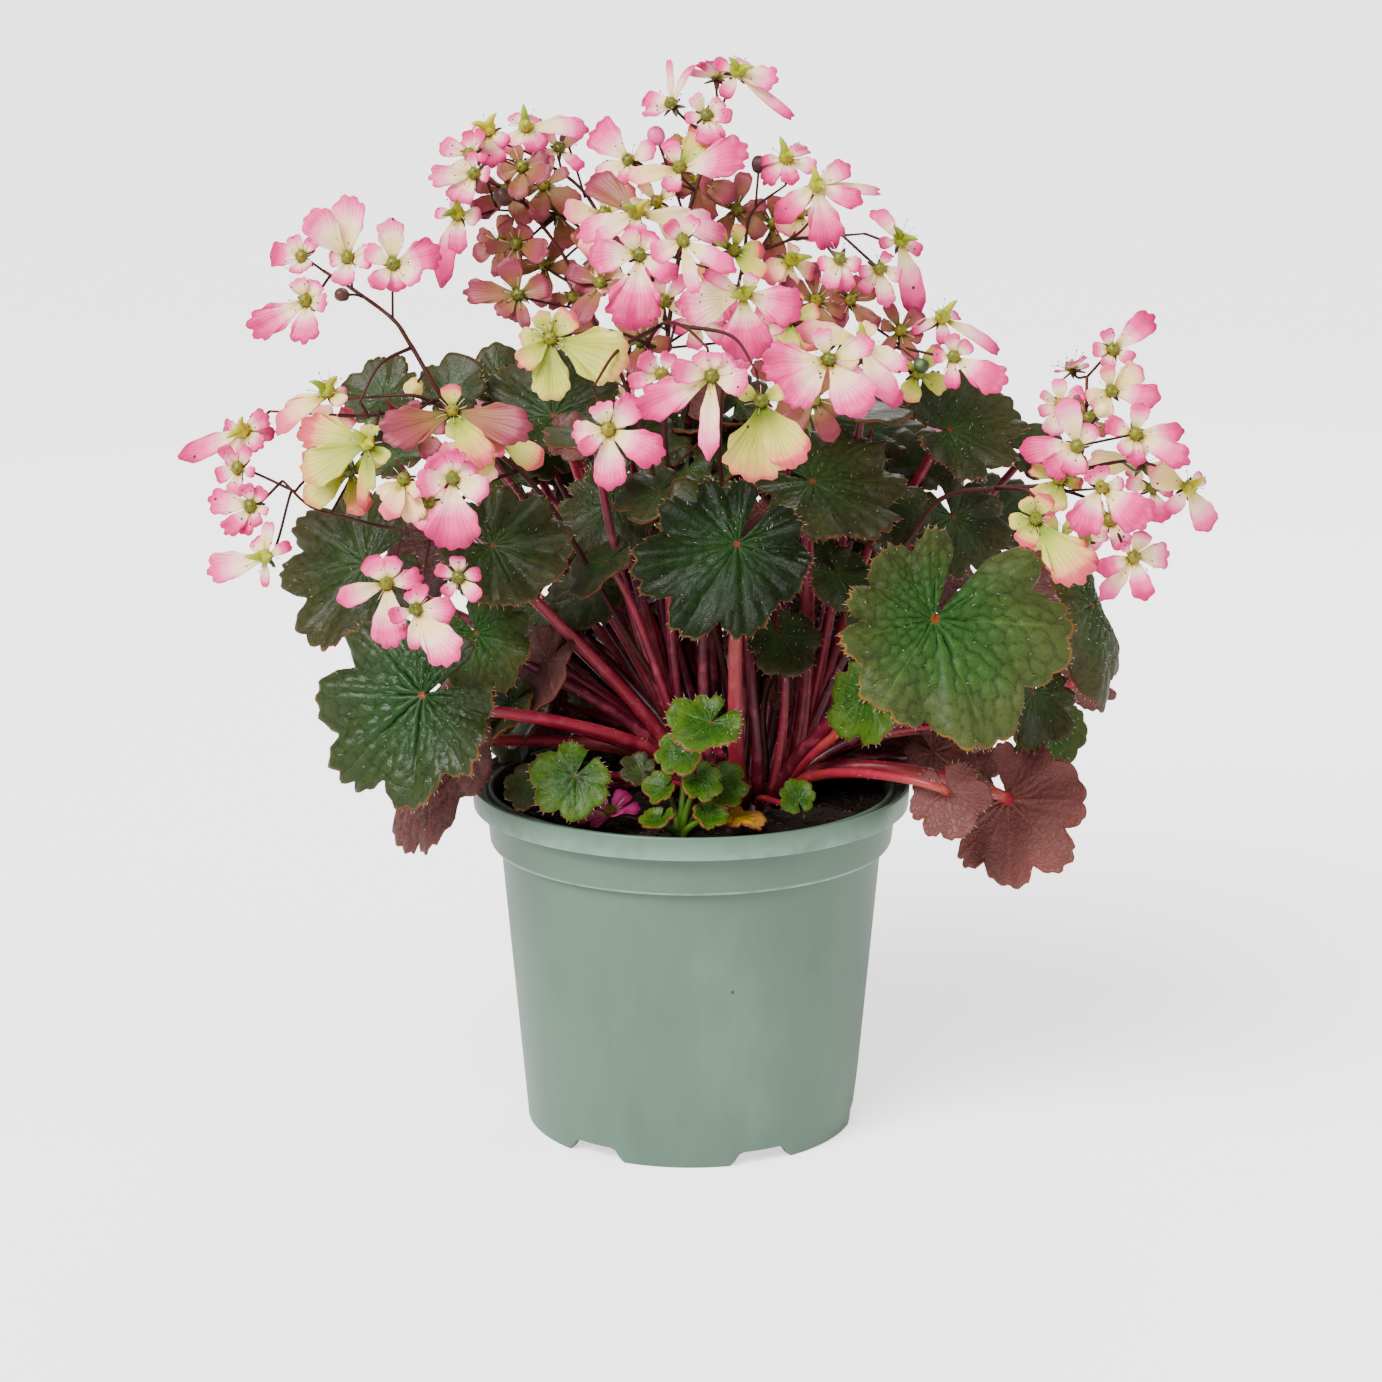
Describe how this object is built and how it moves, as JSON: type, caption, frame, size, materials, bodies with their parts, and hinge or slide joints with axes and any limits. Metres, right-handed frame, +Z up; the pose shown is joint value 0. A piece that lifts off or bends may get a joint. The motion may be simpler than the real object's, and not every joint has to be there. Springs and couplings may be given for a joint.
{
  "type": "potted saxifrage",
  "caption": "Flowering saxifrage in a round nursery pot: rounded lobed leaves on red stalks under branching sprays of pink and cream flowers.",
  "frame": {"origin": "middle of the pot's footprint on the surface it stands on, which is also the middle of the whole plant's footprint", "axes": "+Z up; -Y towards the viewer of the plant's front; +X to the right of that view"},
  "size_m": [0.2739, 0.2008, 0.2927],
  "materials": {
    "pot_plastic": "satin",
    "soil": "matte",
    "leaf_stalk": "satin",
    "leaf_dark": "satin",
    "leaf_green": "satin",
    "leaf_bright": "satin",
    "leaf_dusky": "satin",
    "leaf_withered": "matte",
    "petal": "satin",
    "flower_stem": "satin",
    "flower_centre": "satin"
  },
  "bodies": {
    "root": {"pot": "pot_plastic", "soil": "soil", "leaf_stalks": "leaf_stalk", "leaf_left_high_outer": "leaf_dark", "leaf_left_high_middle": "leaf_dark", "leaf_left_high_inner": "leaf_dark", "leaf_left_top": "leaf_dark", "leaf_left_outer": "leaf_dark", "leaf_left_inner": "leaf_dark", "leaf_left_low": "leaf_green", "leaf_left_low_inner": "leaf_green", "leaf_left_low_back": "leaf_green", "withered_leaf_left": "leaf_dusky", "leaf_middle_left": "leaf_dark", "leaf_middle_front": "leaf_green", "leaf_middle_top": "leaf_dark", "leaf_right_top": "leaf_dark", "leaf_right_inner": "leaf_dark", "leaf_right_behind": "leaf_dark", "leaf_right_front": "leaf_green", "leaf_right_outer": "leaf_green", "leaf_right_under": "leaf_dark", "leaf_right_low_back": "leaf_green", "withered_leaf_right": "leaf_dusky", "withered_leaf_right_small": "leaf_dusky", "leaf_right_turned": "leaf_dusky", "leaf_right_turned_low": "leaf_dusky", "leaf_under_middle": "leaf_dark", "leaf_middle_right": "leaf_dark", "leaf_young_right": "leaf_bright", "leaf_young_middle": "leaf_bright", "leaf_young_left": "leaf_bright", "leaf_tiny_right": "leaf_bright", "leaf_tiny_left": "leaf_dark", "leaf_tiny_middle": "leaf_dark", "leaf_behind_left": "leaf_dark", "leaf_red_behind": "leaf_dusky", "leaf_back_inner_left": "leaf_dark", "leaf_back_inner_right": "leaf_dark", "leaf_right_back_high": "leaf_dark", "leaf_right_back": "leaf_dark", "leaf_back_left": "leaf_dark", "leaf_back_middle_left": "leaf_dark", "leaf_back_middle_right": "leaf_dark", "leaf_back_right": "leaf_dark", "leaf_back_low_left": "leaf_green", "leaf_back_low_right": "leaf_green", "young_shoot": "leaf_bright", "flower_spray_left": "petal", "flower_spray_top_left": "petal", "flower_spray_centre": "petal", "flower_spray_right_top": "petal", "flower_spray_right": "petal", "flower_spray_back_left": "petal", "flower_spray_back_right": "petal", "fallen_flower": "petal", "withered_leaf_on_soil": "leaf_withered"}
  },
  "joints": []
}
